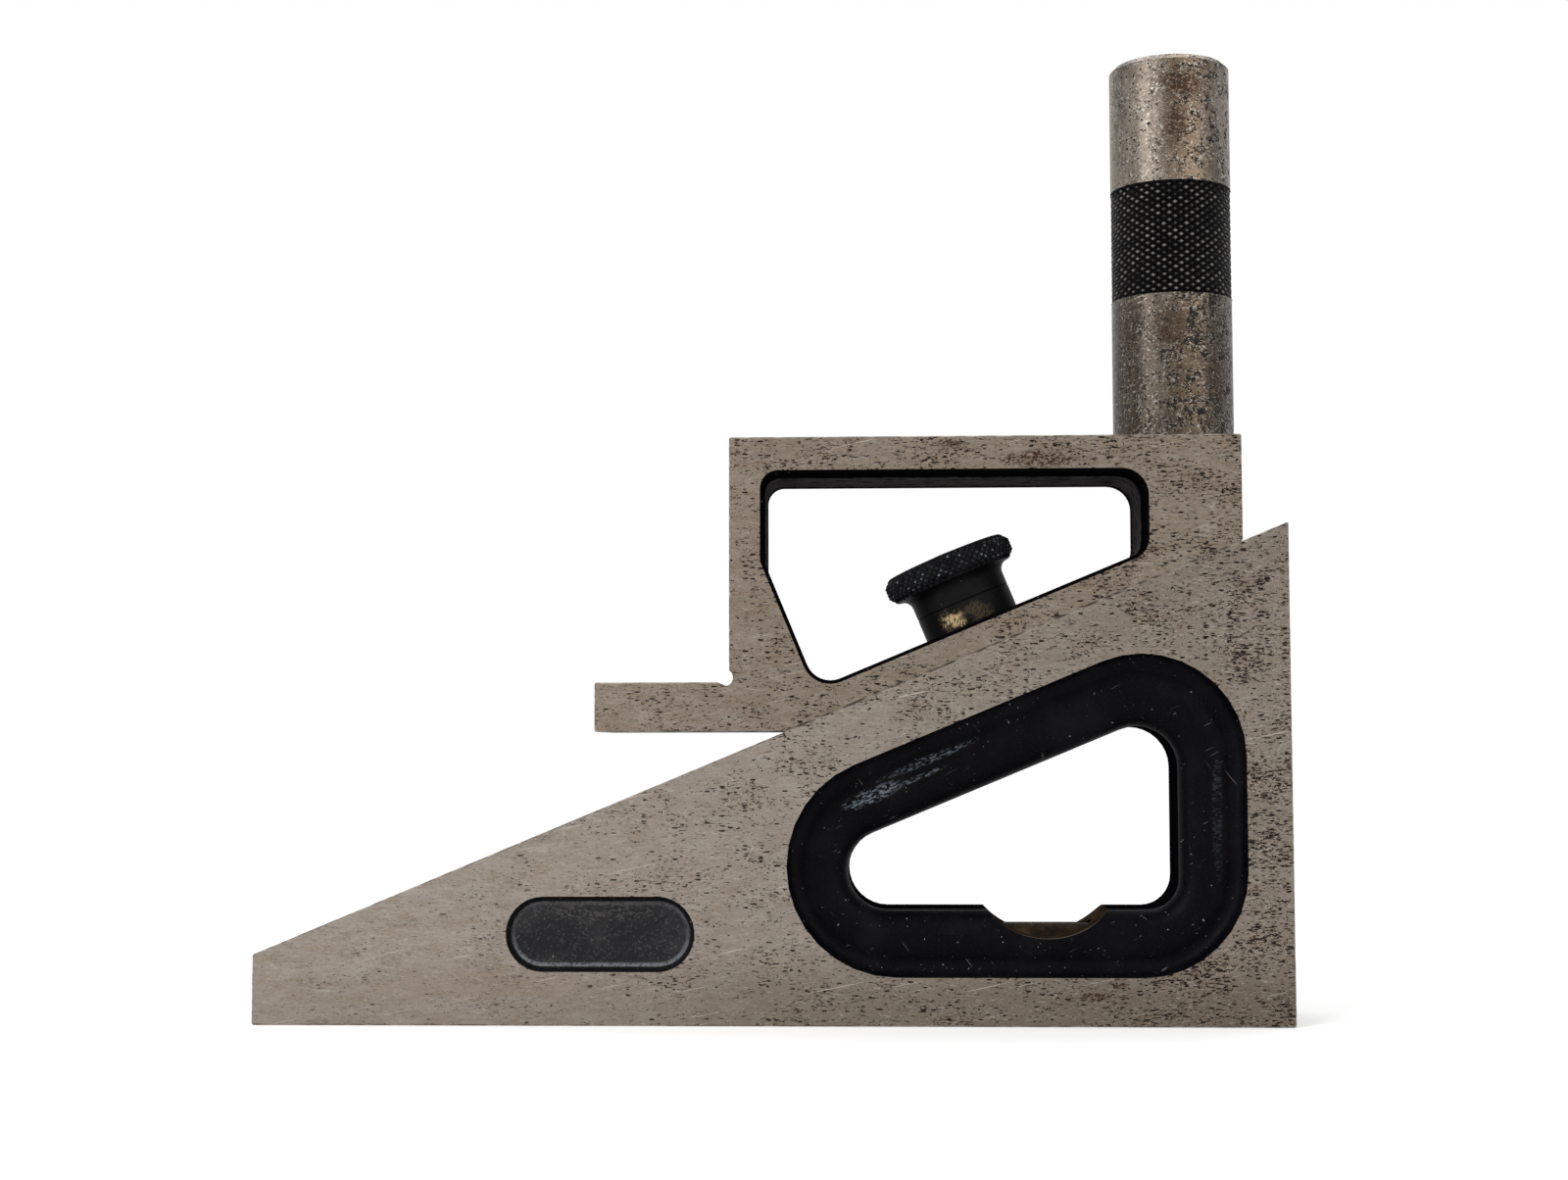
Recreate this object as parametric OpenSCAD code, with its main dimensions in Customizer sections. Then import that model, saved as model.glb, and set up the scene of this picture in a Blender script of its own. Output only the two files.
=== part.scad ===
// Planer and shaper gauge: a wedge base with a level, a slide that climbs its
// inclined face, a thumb lock in the slide's window, and a screw-on extension post.
// X runs along the base towards its tall end, Y goes through the thickness with the
// front face at -Y, and Z is up. The origin is the middle of the base's sole.
// Sizes are in millimetres; many of them are plain inch fractions.

/* [Base] */
// Length of the base
base_len = 133.35; // [110:0.5:160]
// Thickness of the base and the slide
base_thick = 20.64; // [18.5:0.1:26]
// Height of the low end
low_end_h = 8.96; // [8.5:0.1:12]
// Angle of the inclined face, in degrees
incline = 22.5; // [20:0.5:25]
// Bevel along the edges of the side faces
side_bevel = 0.15; // [0.1:0.05:0.3]
// Bevel on the corners that run through the thickness
corner_bevel = 0.2; // [0.15:0.05:0.5]

/* [Grip opening] */
// Metal between the sole and the cast recess
recess_sole_wall = 6.15; // [5:0.05:9]
// Metal between the tall end and the cast recess
recess_end_wall = 5.75; // [4.5:0.05:9]
// Metal between the inclined face and the cast recess
recess_incline_wall = 7.3; // [7:0.1:10]
// Corner radii of the recess: low end, foot of the tall end, top
recess_radii = [14.05, 13.4, 13.2];
// Width of the rounded grip between the recess edge and the hole
grip_w = 8.15; // [7:0.05:9]
// Extra width of the grip above the sole
grip_extra_sole = 0.2; // [0:0.05:0.6]
// Extra width of the grip under the inclined face
grip_extra = 0.95; // [0:0.05:1.4]
// Depth of the grip's crown below the side faces
grip_crown_depth = 3.1; // [2:0.1:4.5]
// Radius of the grip's crown
grip_crown_r = 6; // [5.2:0.1:9]
// Radius that rounds the grip into the hole
grip_edge_r = 3.2; // [2:0.1:3.6]
// Radius of the cove between the grip and the recess wall
grip_cove_r = 1.6; // [0.8:0.1:2.2]
// Corner radii of the hole: low end, foot of the tall end, top
hole_radii = [5.1, 4, 5.3];

/* [Plate recess] */
// Length of the oval recess
plate_len = 24.3; // [18:0.1:30]
// Height of the oval recess
plate_h = 9.6; // [7:0.1:10]
// Depth of the oval recess
plate_depth = 0.8; // [0.6:0.1:1.2]
// Slope of its wall, in degrees from upright
plate_wall_tilt = 35; // [15:1:45]
// Radius between its wall and its floor
plate_fillet_r = 0.45; // [0.2:0.05:0.6]
// Distance of its middle from the low end
plate_x = 44.95; // [40:0.1:50]
// Height of its middle above the sole
plate_z = 11.6; // [9:0.1:12]

/* [Slot] */
// Width of the slot's throat
throat_w = 7.94; // [7.5:0.1:9]
// Depth of the slot's throat
throat_depth = 2.6; // [2.3:0.1:3]
// Width of the undercut
undercut_w = 12.7; // [11.5:0.1:14]
// Height of the undercut
undercut_h = 3.2; // [3.05:0.05:3.4]

/* [Slide] */
// Length of the slide's body
slide_len = 66; // [62:0.5:72]
// Height of the slide's top above its tongue
slide_step = 31.75; // [30:0.25:36]
// Thickness of the tongue
tongue_thick = 6.35; // [5:0.05:8]
// Length of the tongue beyond the body
tongue_len = 17.4; // [12:0.1:24]
// How far the body stands out past the foot of its own incline
slide_heel = 7.3; // [5:0.1:9]
// Distance of the slide from the foot of the incline, along the incline
slide_pos = 74.5; // [60:0.5:85]
// Radius of the clearance groove in the tongue's corner
corner_relief_r = 1.1; // [0.5:0.1:1.6]
// Distance of the groove's middle from the corner, each way
corner_relief_shift = 0.6; // [0.3:0.1:0.7]
// Clearance at each side of the key in the throat
key_clear = 0.04; // [0.02:0.01:0.2]
// Height of the key below the slide's sole
key_h = 2; // [1.2:0.1:2.2]
// Oil film between the inclined face and the slide
film = 0.01; // [0.005:0.005:0.05]

/* [Window] */
// Metal left of the window
window_left = 4; // [3:0.1:6]
// Metal above the window
window_top = 4.3; // [3:0.1:6]
// Metal right of the window
window_right = 11.9; // [11.5:0.1:14]
// Metal between the window and the slide's sole
window_floor = 3.15; // [2.8:0.05:4.5]
// Distance of the window's square foot from the foot of the slide, along the incline
window_foot = 5.35; // [4:0.05:9]
// Corner radii of the window: foot, end of the floor, top right, top left
window_radii = [3.7, 3, 3.5, 2.4];
// Radius of the window's cast front edge
window_round = 0.85; // [0.5:0.05:1.2]
// Where the ground face cuts that radius off, in degrees from the wall
window_cut = 65; // [50:1:75]
// Draft of the window's walls, which opens them towards the back
window_draft = 0.9; // [0:0.1:1.5]

/* [Lock] */
// Distance of the lock from the foot of the slide, along the incline
lock_pos = 28; // [24:0.5:34]
// Diameter of the lock bolt's shank
bolt_d = 4.83; // [4:0.01:5.5]
// Length of the bolt's head along the slot
bolt_head_len = 9; // [7:0.1:10]
// Height of the bolt's head
bolt_head_h = 2.7; // [2.3:0.05:2.75]
// Clearance at each side of the bolt's head in the undercut
head_side_clear = 0.2; // [0.1:0.05:0.5]
// How far the bolt stands out of the nut
bolt_show = 0.4; // [0.35:0.05:2]
// Diameter of the collar and of the nut's body
collar_d = 12.8; // [12:0.1:13.6]
// Height of the collar
collar_h = 3.7; // [3:0.05:4.2]
// Depth of the collar's flat seat below the window's floor
seat_depth = 0.4; // [0.35:0.05:0.8]
// Height of the nut
nut_h = 6.5; // [6:0.1:7.5]
// Diameter of the nut's knurled rim
rim_d = 17.9; // [17:0.1:19]
// Thickness of the nut's knurled rim
rim_h = 3.4; // [2.6:0.1:3.6]
// Bevel of the knurled rim
rim_bevel = 1; // [0.4:0.1:1.2]
// Radius of the neck under the rim
neck_r = 1.4; // [0.8:0.1:2]

/* [Extension post] */
// Diameter of the post
post_d = 15.875; // [14:0.125:17]
// Height of the post
post_h = 50.8; // [40:0.2:76.2]
// Distance of the post's axis from the slide's tall end
post_inset = 7.36; // [7.3:0.02:8.2]
// Height at which the knurled band starts
band_start = 19; // [15:0.1:24]
// Width of the knurled band
band_w = 14.9; // [10:0.1:16]
// How far the knurled band stands proud
band_proud = 0.1; // [0:0.02:0.3]
// Bevel at the top of the post
post_bevel = 0.7; // [0.3:0.1:1.2]
// Diameter of the stud that holds the post
stud_d = 4.83; // [4:0.01:5.5]
// Depth of the stud in the slide
stud_depth = 7.94; // [6:0.1:9]
// Depth of the stud in the post
stud_in_post = 9; // [7:0.1:12]

/* [Level] */
// Distance of the level's middle from the tall end
level_inset = 30.9; // [28:0.1:33]
// Height of the level's axis above the sole
level_z = 9.6; // [8.8:0.1:9.8]
// Radius of the sighting scallop
scallop_r = 10.3; // [8:0.1:12]
// Depth of the scallop below the hole's lower edge
scallop_depth = 3.7; // [3:0.1:4]
// Diameter of the level's bore
level_bore_d = 6.5; // [6.2:0.1:7]
// Length of the level's brass tube
tube_len = 30; // [26:0.5:34]
// Wall of the brass tube
tube_wall = 0.4; // [0.3:0.05:0.5]
// Length of the sighting slot in the brass tube
tube_slot_len = 16; // [13:0.5:18]
// Width of the sighting slot in the brass tube
tube_slot_w = 3.2; // [2.4:0.1:4.4]
// Wall of the glass
glass_wall = 0.7; // [0.5:0.05:0.9]
// Length of each seal inside the glass
seal_in = 3; // [2:0.1:4]
// Thickness of each seal outside the glass
seal_cap = 1; // [0.6:0.1:1.5]
// Length of the air bubble
bubble_len = 5.5; // [3:0.1:8]
// Diameter of the air bubble
bubble_d = 2.5; // [1.5:0.1:2.8]
// Depth of the bubble's middle below the top of the glass bore
bubble_drop = 1; // [0.7:0.05:1.3]
// Diameter of the bore's screw plug
plug_d = 7.94; // [7.4:0.02:8.4]
// Length of the plug's thread
plug_len = 7; // [5:0.1:9]
// Width of the plug's driver slot
driver_slot_w = 1.1; // [0.8:0.1:1.6]
// Depth of the plug's driver slot
driver_slot_depth = 1.4; // [1:0.1:2]

/* [Hidden] */

$fn = 64;
eps = 0.01;                       // overlap that keeps cuts from ending flush
cut_over = 0.5;                   // how far a recess's cutter stands out of the face
thread_clear = 0.03;              // radial gap at a plain-drawn thread
shank_clear = 0.15;               // radial gap round the bolt in the slide and collar
drill_extra = 0.6;                // depth of a blind hole past its stud
edge_break = 0.3;                 // small bevel on turned edges
joint_break = 0.1;                // bevel where the nut meets the collar
seat_clear = 0.3;                 // radial gap round the collar in its seat
slip_clear = 0.05;                // radial gap of the level's nested parts
fluid_gap = 0.02;                 // keeps the spirit's wall off the glass

steel = "#8c857b";
blued = "#1d1d20";
brass = "#b08d4a";
glass = "#9fb8a0";
spirit = "#b6c23a";
plaster = "#cfc6b2";

// Points of a flat outline are [x, z]; "up" is away from the inclined face
rise = tan(incline);
tall_end_h = low_end_h + base_len * rise;
base_outline = [[0, 0], [base_len, 0], [base_len, tall_end_h], [0, low_end_h]];
half_thick = base_thick / 2;
incline_len = base_len / cos(incline);

// The grip opening is a triangle between the sole, the tall end and the incline
function incline_z(x, depth) = low_end_h + x * rise - depth / cos(incline);
function incline_x(z, depth) = (z - low_end_h + depth / cos(incline)) / rise;
function opening(sole, end, depth) = [
    [incline_x(sole, depth), sole],
    [base_len - end, sole],
    [base_len - end, incline_z(base_len - end, depth)]
];
recess_outline = opening(recess_sole_wall, recess_end_wall, recess_incline_wall);
hole_sole_wall = recess_sole_wall + grip_w + grip_extra_sole;
hole_outline = opening(hole_sole_wall, recess_end_wall + grip_w,
                       recess_incline_wall + grip_w + grip_extra);

// The grip's section from the recess wall to the hole: a cove, a crown and a roll into the
// hole. Its points are [distance outwards from the hole, height above the middle plane].
crown_w = grip_w / 2;
crown_base = half_thick - grip_crown_depth - grip_crown_r;
roll_h = crown_base + sqrt(pow(grip_crown_r - grip_edge_r, 2) - pow(crown_w - grip_edge_r, 2));
roll_start = 180 - acos((crown_w - grip_edge_r) / (grip_crown_r - grip_edge_r));
cove_w = grip_w - grip_cove_r - crown_w;
cove_h = crown_base + sqrt(pow(grip_crown_r + grip_cove_r, 2) - pow(cove_w, 2));
crown_start = acos(cove_w / (grip_crown_r + grip_cove_r));
arc_step = 12;
function arc(centre, r, from, to) =
    let (n = ceil(abs(to - from) / arc_step))
    [for (i = [0:n]) centre + r * [cos(from + (to - from) * i / n), sin(from + (to - from) * i / n)]];
function without_first(v) = [for (i = [1:len(v) - 1]) v[i]];
grip_side = concat(
    [[grip_w, half_thick + 1]],
    arc([grip_w - grip_cove_r, cove_h], grip_cove_r, 0, crown_start - 180),
    without_first(arc([crown_w, crown_base], grip_crown_r, crown_start, roll_start)),
    without_first(arc([grip_edge_r, roll_h], grip_edge_r, roll_start, 180))
);
grip_section = concat(grip_side, [for (i = [len(grip_side) - 1:-1:0]) [grip_side[i][0], -grip_side[i][1]]]);

// The opening's outline at a share of the way from the hole to the recess wall
function mix(a, b, share) = a + (b - a) * share;
function opening_ring(share) =
    rounded_ring(mix(hole_outline, recess_outline, share), mix(hole_radii, recess_radii, share), 0);

// The plate recess's section from the face to the floor: a sloped wall and a fillet. Its
// points are [distance inwards from the edge, height above the face].
wall_run = (plate_depth - plate_fillet_r * (1 - sin(plate_wall_tilt))) / cos(plate_wall_tilt);
floor_inset = wall_run * sin(plate_wall_tilt) + plate_fillet_r * cos(plate_wall_tilt);
plate_section = concat(
    [[-cut_over * tan(plate_wall_tilt), cut_over]],
    arc([floor_inset, plate_fillet_r - plate_depth], plate_fillet_r, 180 + plate_wall_tilt, 270)
);
function stadium(r) =
    let (side = (plate_len - plate_h) / 2) concat(arc([side, 0], r, -90, 90), arc([-side, 0], r, 90, 270));

// The slide, measured from the foot of its incline
slide_right = slide_len - slide_heel;
slide_h = tongue_thick + slide_step;
slide_foot_x = slide_pos * cos(incline);
slide_outline = [
    [-slide_heel - tongue_len, 0], [0, 0], [slide_right, slide_right * rise],
    [slide_right, slide_h], [-slide_heel, slide_h], [-slide_heel, tongue_thick],
    [-slide_heel - tongue_len, tongue_thick]
];
window_x0 = window_left - slide_heel;
window_x1 = slide_right - window_right;
window_z1 = slide_h - window_top;
function window_floor_z(x) = x * rise + window_floor / cos(incline);
foot_point = [window_foot * cos(incline) - window_floor * sin(incline),
              window_foot * sin(incline) + window_floor * cos(incline)];
window_outline = [
    foot_point,
    [window_x1, window_floor_z(window_x1)],
    [window_x1, window_z1],
    [window_x0, window_z1],
    [window_x0, foot_point[1] + (foot_point[0] - window_x0) / rise]
];

// The window's section from the front to the back: a rounded cast edge that the ground face cuts
// off, and a wall with draft. Its points are [distance inwards from the edge, height above the
// middle plane].
window_lip = window_round * (1 - cos(window_cut));
round_centre = [window_lip - window_round, half_thick - window_round * sin(window_cut)];
window_back = window_lip - (round_centre[1] + half_thick + cut_over) * tan(window_draft);
window_section = concat(
    [[-cut_over * tan(window_cut), half_thick + cut_over]],
    arc(round_centre, window_round, window_cut, 0),
    [[window_back, -half_thick - cut_over]]
);

collar_seat = window_floor + window_lip - seat_depth;
lock_seat = collar_seat + collar_h;
post_x = slide_right - post_inset;
level_x = base_len - level_inset;
scallop_z = hole_sole_wall - scallop_depth + scallop_r;
level_left = level_x - tube_len / 2;
level_right = level_x + tube_len / 2;
tube_r = level_bore_d / 2 - slip_clear;
glass_r = tube_r - tube_wall - slip_clear;
glass_len = tube_len - 2 * seal_cap;
glass_bore_r = glass_r - glass_wall;
spirit_r = glass_bore_r - fluid_gap;
spirit_len = glass_len - 2 * seal_in;

// Corners of a convex outline that runs anticlockwise
function unit(v) = v / norm(v);
function before(i, pts) = pts[(i + len(pts) - 1) % len(pts)];
function after(i, pts) = pts[(i + 1) % len(pts)];
function half_angle(i, pts) =
    acos(unit(before(i, pts) - pts[i]) * unit(after(i, pts) - pts[i])) / 2;
function corner_centre(i, pts, r) =
    pts[i] + unit(unit(before(i, pts) - pts[i]) + unit(after(i, pts) - pts[i])) * r / sin(half_angle(i, pts));
function heading(v) = atan2(v[1], v[0]);
// The outline with rounded corners, set inwards; a radius of 0 leaves the corner sharp
function rounded_ring(pts, radii, inset) = [for (i = [0:len(pts) - 1]) let (
    turn = 180 - 2 * half_angle(i, pts),
    end = heading(after(i, pts) - pts[i]) - 90
) each radii[i] > 0 ? arc(corner_centre(i, pts, radii[i]), radii[i] - inset, end - turn, end)
                    : [corner_centre(i, pts, inset)]];

// Stands a flat outline up: its y becomes Z and its thickness runs along Y
module upright() rotate([90, 0, 0]) children();
module from_low_end() translate([-base_len / 2, 0, 0]) children();
// The incline's own frame: x climbs it, y crosses it, z stands square on it
module on_incline() from_low_end() translate([0, 0, low_end_h]) rotate([0, -incline, 0]) children();
module at_slide() from_low_end()
    translate([slide_foot_x, 0, low_end_h + slide_foot_x * rise + film / cos(incline)]) children();
module at_lock() on_incline() translate([slide_pos + lock_pos, 0, film]) children();
module at_post() at_slide() translate([post_x, 0, slide_h]) children();
module along_level(x) from_low_end() translate([x, 0, level_z]) rotate([0, 90, 0]) children();

module slab(thick) linear_extrude(thick, center = true) children();

// An outline with corners cut off; a cut of 0 leaves the corner as it is
function cut_corners(pts, cuts) = [for (i = [0:len(pts) - 1]) each
    cuts[i] > 0 ? [pts[i] + unit(before(i, pts) - pts[i]) * cuts[i],
                   pts[i] + unit(after(i, pts) - pts[i]) * cuts[i]] : [pts[i]]];

// Bars that bevel an outline's edges on both side faces. Each lies across its edge, and stands
// out past both faces that it bevels.
module side_bevels(pts) {
    bar_w = 3 * side_bevel;
    past = 1.5 * side_bevel;
    for (i = [0:len(pts) - 1], side = [-1, 1]) {
        run = after(i, pts) - pts[i];
        translate([pts[i][0], pts[i][1], side * half_thick])
            rotate(heading(run)) rotate([90 - 45 * side, 0, 0])
            translate([-past, -bar_w / 2, -side_bevel / sqrt(2)])
            cube([norm(run) + 2 * past, bar_w, bar_w]);
    }
}

// One closed skin through outlines of the same number of points, from the highest down
module skin(outlines, heights) {
    n = len(outlines[0]);
    last = len(outlines) - 1;
    sides = [for (j = [0:last - 1], k = [0:n - 1])
        let (a = j * n + k, b = j * n + (k + 1) % n) each [[a, b, b + n], [a, b + n, a + n]]];
    caps = [[for (k = [n - 1:-1:0]) k], [for (k = [0:n - 1]) last * n + k]];
    polyhedron(points = [for (i = [0:last], q = outlines[i]) [q[0], q[1], heights[i]]],
               faces = concat(caps, sides));
}

// What the grip opening takes away: its section carried round its outline
module grip_opening()
    skin([for (p = grip_section) opening_ring(p[0] / grip_w)], [for (p = grip_section) p[1]]);

module t_slot() {
    width = [throat_w, undercut_w];
    top = [1, -throat_depth + eps];
    depth = [throat_depth + 1, undercut_h + eps];
    for (i = [0:1])
        translate([-base_thick, -width[i] / 2, top[i] - depth[i]])
            cube([incline_len + 2 * base_thick, width[i], depth[i]]);
}

module plate_recess()
    skin([for (p = plate_section) stadium(plate_h / 2 - p[0])], [for (p = plate_section) p[1]]);

// What the window takes away
module window()
    skin([for (p = window_section) rounded_ring(window_outline, concat(window_radii, [0]), p[0])],
         [for (p = window_section) p[1]]);

module base() {
    color(steel) difference() {
        from_low_end() upright() slab(base_thick)
            polygon(cut_corners(base_outline, corner_bevel * [1, 1, 1, 1]));
        from_low_end() upright() side_bevels(base_outline);
        from_low_end() upright() grip_opening();
        on_incline() t_slot();
        from_low_end() upright() translate([level_x, scallop_z])
            cylinder(r = scallop_r, h = base_thick, center = true);
        from_low_end() upright() translate([plate_x, plate_z, half_thick]) plate_recess();
        along_level(level_left) cylinder(d = level_bore_d, h = base_len);
        along_level(base_len - plug_len - edge_break) cylinder(r = plug_d / 2 + thread_clear, h = base_len);
    }
}

module vial_tube() {
    color(brass) difference() {
        along_level(level_left + eps) cylinder(r = tube_r, h = tube_len - eps);
        along_level(level_left - 1) cylinder(r = tube_r - tube_wall, h = tube_len + 2);
        from_low_end() translate([level_x - tube_slot_len / 2, -tube_slot_w / 2, level_z])
            cube([tube_slot_len, tube_slot_w, tube_r + 1]);
    }
}

module vial_glass() {
    color(glass) difference() {
        along_level(level_left + seal_cap) cylinder(r = glass_r, h = glass_len);
        along_level(level_left) cylinder(r = glass_bore_r, h = tube_len);
    }
}

module vial_spirit() {
    straight = bubble_len - bubble_d;
    color(spirit) difference() {
        along_level(level_x - spirit_len / 2) cylinder(r = spirit_r, h = spirit_len);
        from_low_end() translate([level_x, 0, level_z + glass_bore_r - bubble_drop]) {
            rotate([0, 90, 0]) cylinder(d = bubble_d, h = straight, center = true);
            for (side = [-1, 1]) translate([side * straight / 2, 0, 0]) sphere(d = bubble_d);
        }
    }
}

module vial_seal() {
    color(plaster) {
        cylinder(r = glass_r, h = seal_cap);
        translate([0, 0, seal_cap - eps]) cylinder(r = spirit_r, h = seal_in + eps);
    }
}
module vial_seal_left() along_level(level_left) vial_seal();
module vial_seal_right() along_level(level_right) mirror([0, 0, 1]) vial_seal();

module level_plug() {
    start = base_len - edge_break - plug_len;
    color(steel) difference() {
        union() {
            along_level(level_right) cylinder(r = tube_r, h = start - level_right + eps);
            along_level(start) bevelled_rod(plug_d, plug_len);
        }
        from_low_end()
            translate([base_len - edge_break - driver_slot_depth, -plug_d, level_z - driver_slot_w / 2])
            cube([driver_slot_depth + 1, 2 * plug_d, driver_slot_w]);
    }
}

module bevelled_rod(d, h, cut = edge_break) rotate_extrude()
    polygon([[0, 0], [d / 2 - cut, 0], [d / 2, cut], [d / 2, h - cut], [d / 2 - cut, h], [0, h]]);

module slide() {
    color(steel) difference() {
        union() {
            at_slide() upright() slab(base_thick) difference() {
                polygon(cut_corners(slide_outline, corner_bevel * [1, 0, 1, 1, 1, 0, 1]));
                translate([-slide_heel - corner_relief_shift, tongue_thick + corner_relief_shift])
                    circle(corner_relief_r);
            }
            slide_key();
        }
        at_slide() upright() side_bevels(slide_outline);
        at_slide() upright() window();
        at_lock() translate([0, 0, collar_seat])
            cylinder(r = collar_d / 2 + seat_clear, h = seat_depth + 1);
        at_lock() translate([0, 0, -key_h - 1])
            cylinder(r = bolt_d / 2 + shank_clear, h = key_h + window_floor + 2);
        at_post() mirror([0, 0, 1]) translate([0, 0, -1])
            cylinder(r = stud_d / 2 + thread_clear, h = stud_depth + drill_extra + 1);
    }
}

// The key that guides the slide in the throat, kept inside the slide's two ends
module slide_key() {
    key_w = throat_w - 2 * key_clear;
    setback = key_h * rise;
    key_len = slide_right / cos(incline) - 2 * setback;
    on_incline() translate([slide_pos + setback, -key_w / 2, -key_h])
        cube([key_len, key_w, key_h + film + eps]);
}

module lock_collar() {
    color(blued) at_lock() translate([0, 0, collar_seat]) difference() {
        bevelled_rod(collar_d, collar_h, joint_break);
        translate([0, 0, -1]) cylinder(r = bolt_d / 2 + shank_clear, h = collar_h + 2);
    }
}

module lock_bolt() {
    head_w = undercut_w - 2 * head_side_clear;
    neck = throat_depth + film;
    shank = neck + lock_seat + nut_h + bolt_show;
    color(blued) at_lock() translate([0, 0, -neck]) {
        translate([-bolt_head_len / 2, -head_w / 2, -bolt_head_h])
            cube([bolt_head_len, head_w, bolt_head_h]);
        translate([0, 0, -eps]) rotate_extrude()
            polygon([[0, 0], [bolt_d / 2, 0], [bolt_d / 2, shank - edge_break],
                     [bolt_d / 2 - edge_break, shank], [0, shank]]);
    }
}

module lock_nut() {
    body_r = collar_d / 2;
    rim_r = rim_d / 2;
    rim_z = nut_h - rim_h;
    bore_r = bolt_d / 2 + thread_clear;
    color(blued) at_lock() translate([0, 0, lock_seat]) rotate_extrude()
        polygon(concat([[bore_r, 0], [body_r - joint_break, 0], [body_r, joint_break]],
                       arc([body_r + neck_r, rim_z - neck_r], neck_r, 180, 90),
                       [[rim_r - rim_bevel, rim_z], [rim_r, rim_z + rim_bevel],
                        [rim_r, nut_h - rim_bevel], [rim_r - rim_bevel, nut_h], [bore_r, nut_h]]));
}

module post_stud() {
    color(steel) at_post() translate([0, 0, -stud_depth]) bevelled_rod(stud_d, stud_depth + stud_in_post);
}

module extension_post() {
    r = post_d / 2;
    band_r = r + band_proud;
    bore_r = stud_d / 2 + thread_clear;
    bore_h = stud_in_post + drill_extra;
    band_end = band_start + band_w;
    color(steel) at_post() rotate_extrude()
        polygon([[bore_r, 0], [r - edge_break, 0], [r, edge_break],
                 [r, band_start], [band_r, band_start], [band_r, band_end], [r, band_end],
                 [r, post_h - post_bevel], [r - post_bevel, post_h], [0, post_h],
                 [0, bore_h + bore_r / 2], [bore_r, bore_h]]);
}

base();
vial_tube();
vial_glass();
vial_spirit();
vial_seal_left();
vial_seal_right();
level_plug();
slide();
lock_collar();
lock_bolt();
lock_nut();
post_stud();
extension_post();
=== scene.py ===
import math
import random

import bmesh
import bpy
from mathutils import Matrix, Vector


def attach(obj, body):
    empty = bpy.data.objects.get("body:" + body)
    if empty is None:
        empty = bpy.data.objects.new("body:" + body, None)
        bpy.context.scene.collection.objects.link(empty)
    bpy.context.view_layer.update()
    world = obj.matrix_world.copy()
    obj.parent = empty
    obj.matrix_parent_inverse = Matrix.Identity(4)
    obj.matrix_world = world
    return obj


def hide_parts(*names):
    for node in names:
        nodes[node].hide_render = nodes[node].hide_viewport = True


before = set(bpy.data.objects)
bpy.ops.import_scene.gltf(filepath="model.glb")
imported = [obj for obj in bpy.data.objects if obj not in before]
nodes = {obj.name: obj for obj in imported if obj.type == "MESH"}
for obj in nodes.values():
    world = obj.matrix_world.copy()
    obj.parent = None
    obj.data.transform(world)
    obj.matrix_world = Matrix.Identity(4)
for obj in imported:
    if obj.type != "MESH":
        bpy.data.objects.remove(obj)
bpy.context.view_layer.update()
scene = bpy.context.scene
scene.view_settings.view_transform = "Standard"
random.seed(11)
print("frame loaded,", len(nodes), "nodes")


def srgb(red, green, blue):                    # a colour as a picture shows it, 0 to 255
    def linear(c):
        c /= 255
        return c / 12.92 if c <= 0.04045 else ((c + 0.055) / 1.055) ** 2.4
    return (linear(red), linear(green), linear(blue), 1)


def mm(*values):
    return Vector(values) / 1000


# Shader maths

class Wire:                                    # a node's socket that can be reckoned with
    def __init__(self, paint, socket):
        self.paint = paint
        self.socket = socket

    def reckon(self, operation, *values):
        kind = "ShaderNodeMath" if self.socket.type == "VALUE" else "ShaderNodeVectorMath"
        return self.paint.node(kind, {"operation": operation}, values)

    def __add__(self, other):
        return self.reckon("ADD", self, other)

    def __sub__(self, other):
        return self.reckon("SUBTRACT", self, other)

    def __mul__(self, other):
        return self.reckon("MULTIPLY", self, other)

    def __truediv__(self, other):
        return self.reckon("DIVIDE", self, other)

    def __radd__(self, other):
        return self.reckon("ADD", other, self)

    def __rsub__(self, other):
        return self.reckon("SUBTRACT", other, self)

    def __rmul__(self, other):
        return self.reckon("MULTIPLY", other, self)


class Paint:                                   # one material and the nodes that make it
    def __init__(self, name, owner=None):
        self.owner = owner or bpy.data.materials.new(name)
        self.owner.use_nodes = True
        self.tree = self.owner.node_tree
        self.tree.nodes.clear()

    def node(self, kind, settings=None, values=(), out=0):
        made = self.tree.nodes.new(kind)
        for key, value in (settings or {}).items():
            if key == "stops":
                for spot, (place, colour) in enumerate(value):
                    stops = made.color_ramp.elements
                    stop = stops[spot] if spot < len(stops) else stops.new(place)
                    stop.position, stop.color = place, colour
            else:
                setattr(made, key, value)
        pairs = values.items() if isinstance(values, dict) else enumerate(values)
        for key, value in pairs:
            target = self.pick(made.inputs, key)
            if isinstance(value, Wire):
                self.tree.links.new(value.socket, target)
            elif target.type == "VECTOR" and isinstance(value, (int, float)):
                target.default_value = (value,) * 3
            else:
                target.default_value = value
        return Wire(self, self.pick(made.outputs, out)) if made.outputs else None

    def pick(self, sockets, key):
        if isinstance(key, int):
            return sockets[key]
        return next(s for s in sockets if key in (s.identifier, s.name))

    def place(self):                           # where a point is on the object, in millimetres
        return self.node("ShaderNodeTexCoord", out="Object") * 1000

    def finish(self, values):
        surface = self.node("ShaderNodeBsdfPrincipled", {}, values)
        self.node("ShaderNodeOutputMaterial", {}, {"Surface": surface})
        return self.owner


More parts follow.
